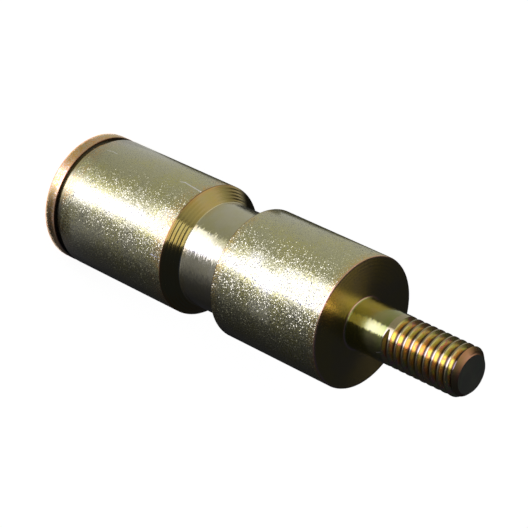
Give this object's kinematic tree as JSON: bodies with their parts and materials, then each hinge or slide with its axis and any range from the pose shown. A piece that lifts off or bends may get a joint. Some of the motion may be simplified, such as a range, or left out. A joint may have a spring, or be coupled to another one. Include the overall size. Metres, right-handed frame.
{
  "type": "turned stud pin",
  "caption": "Turned steel pin with a collar, two bearing lands, a relieved neck and a threaded stud on one end, yellow zinc plated",
  "frame": {"origin": "centre of the collar's back face, at the bottom of the pin", "axes": "+Z runs along the pin from the collar to the threaded end; X and Y are square to it"},
  "size_m": [0.016, 0.016, 0.0596],
  "materials": {
    "plated_steel": "yellow zinc plating over a fine turned surface"
  },
  "bodies": {
    "root": {"turned_pin": "plated_steel"}
  },
  "joints": []
}
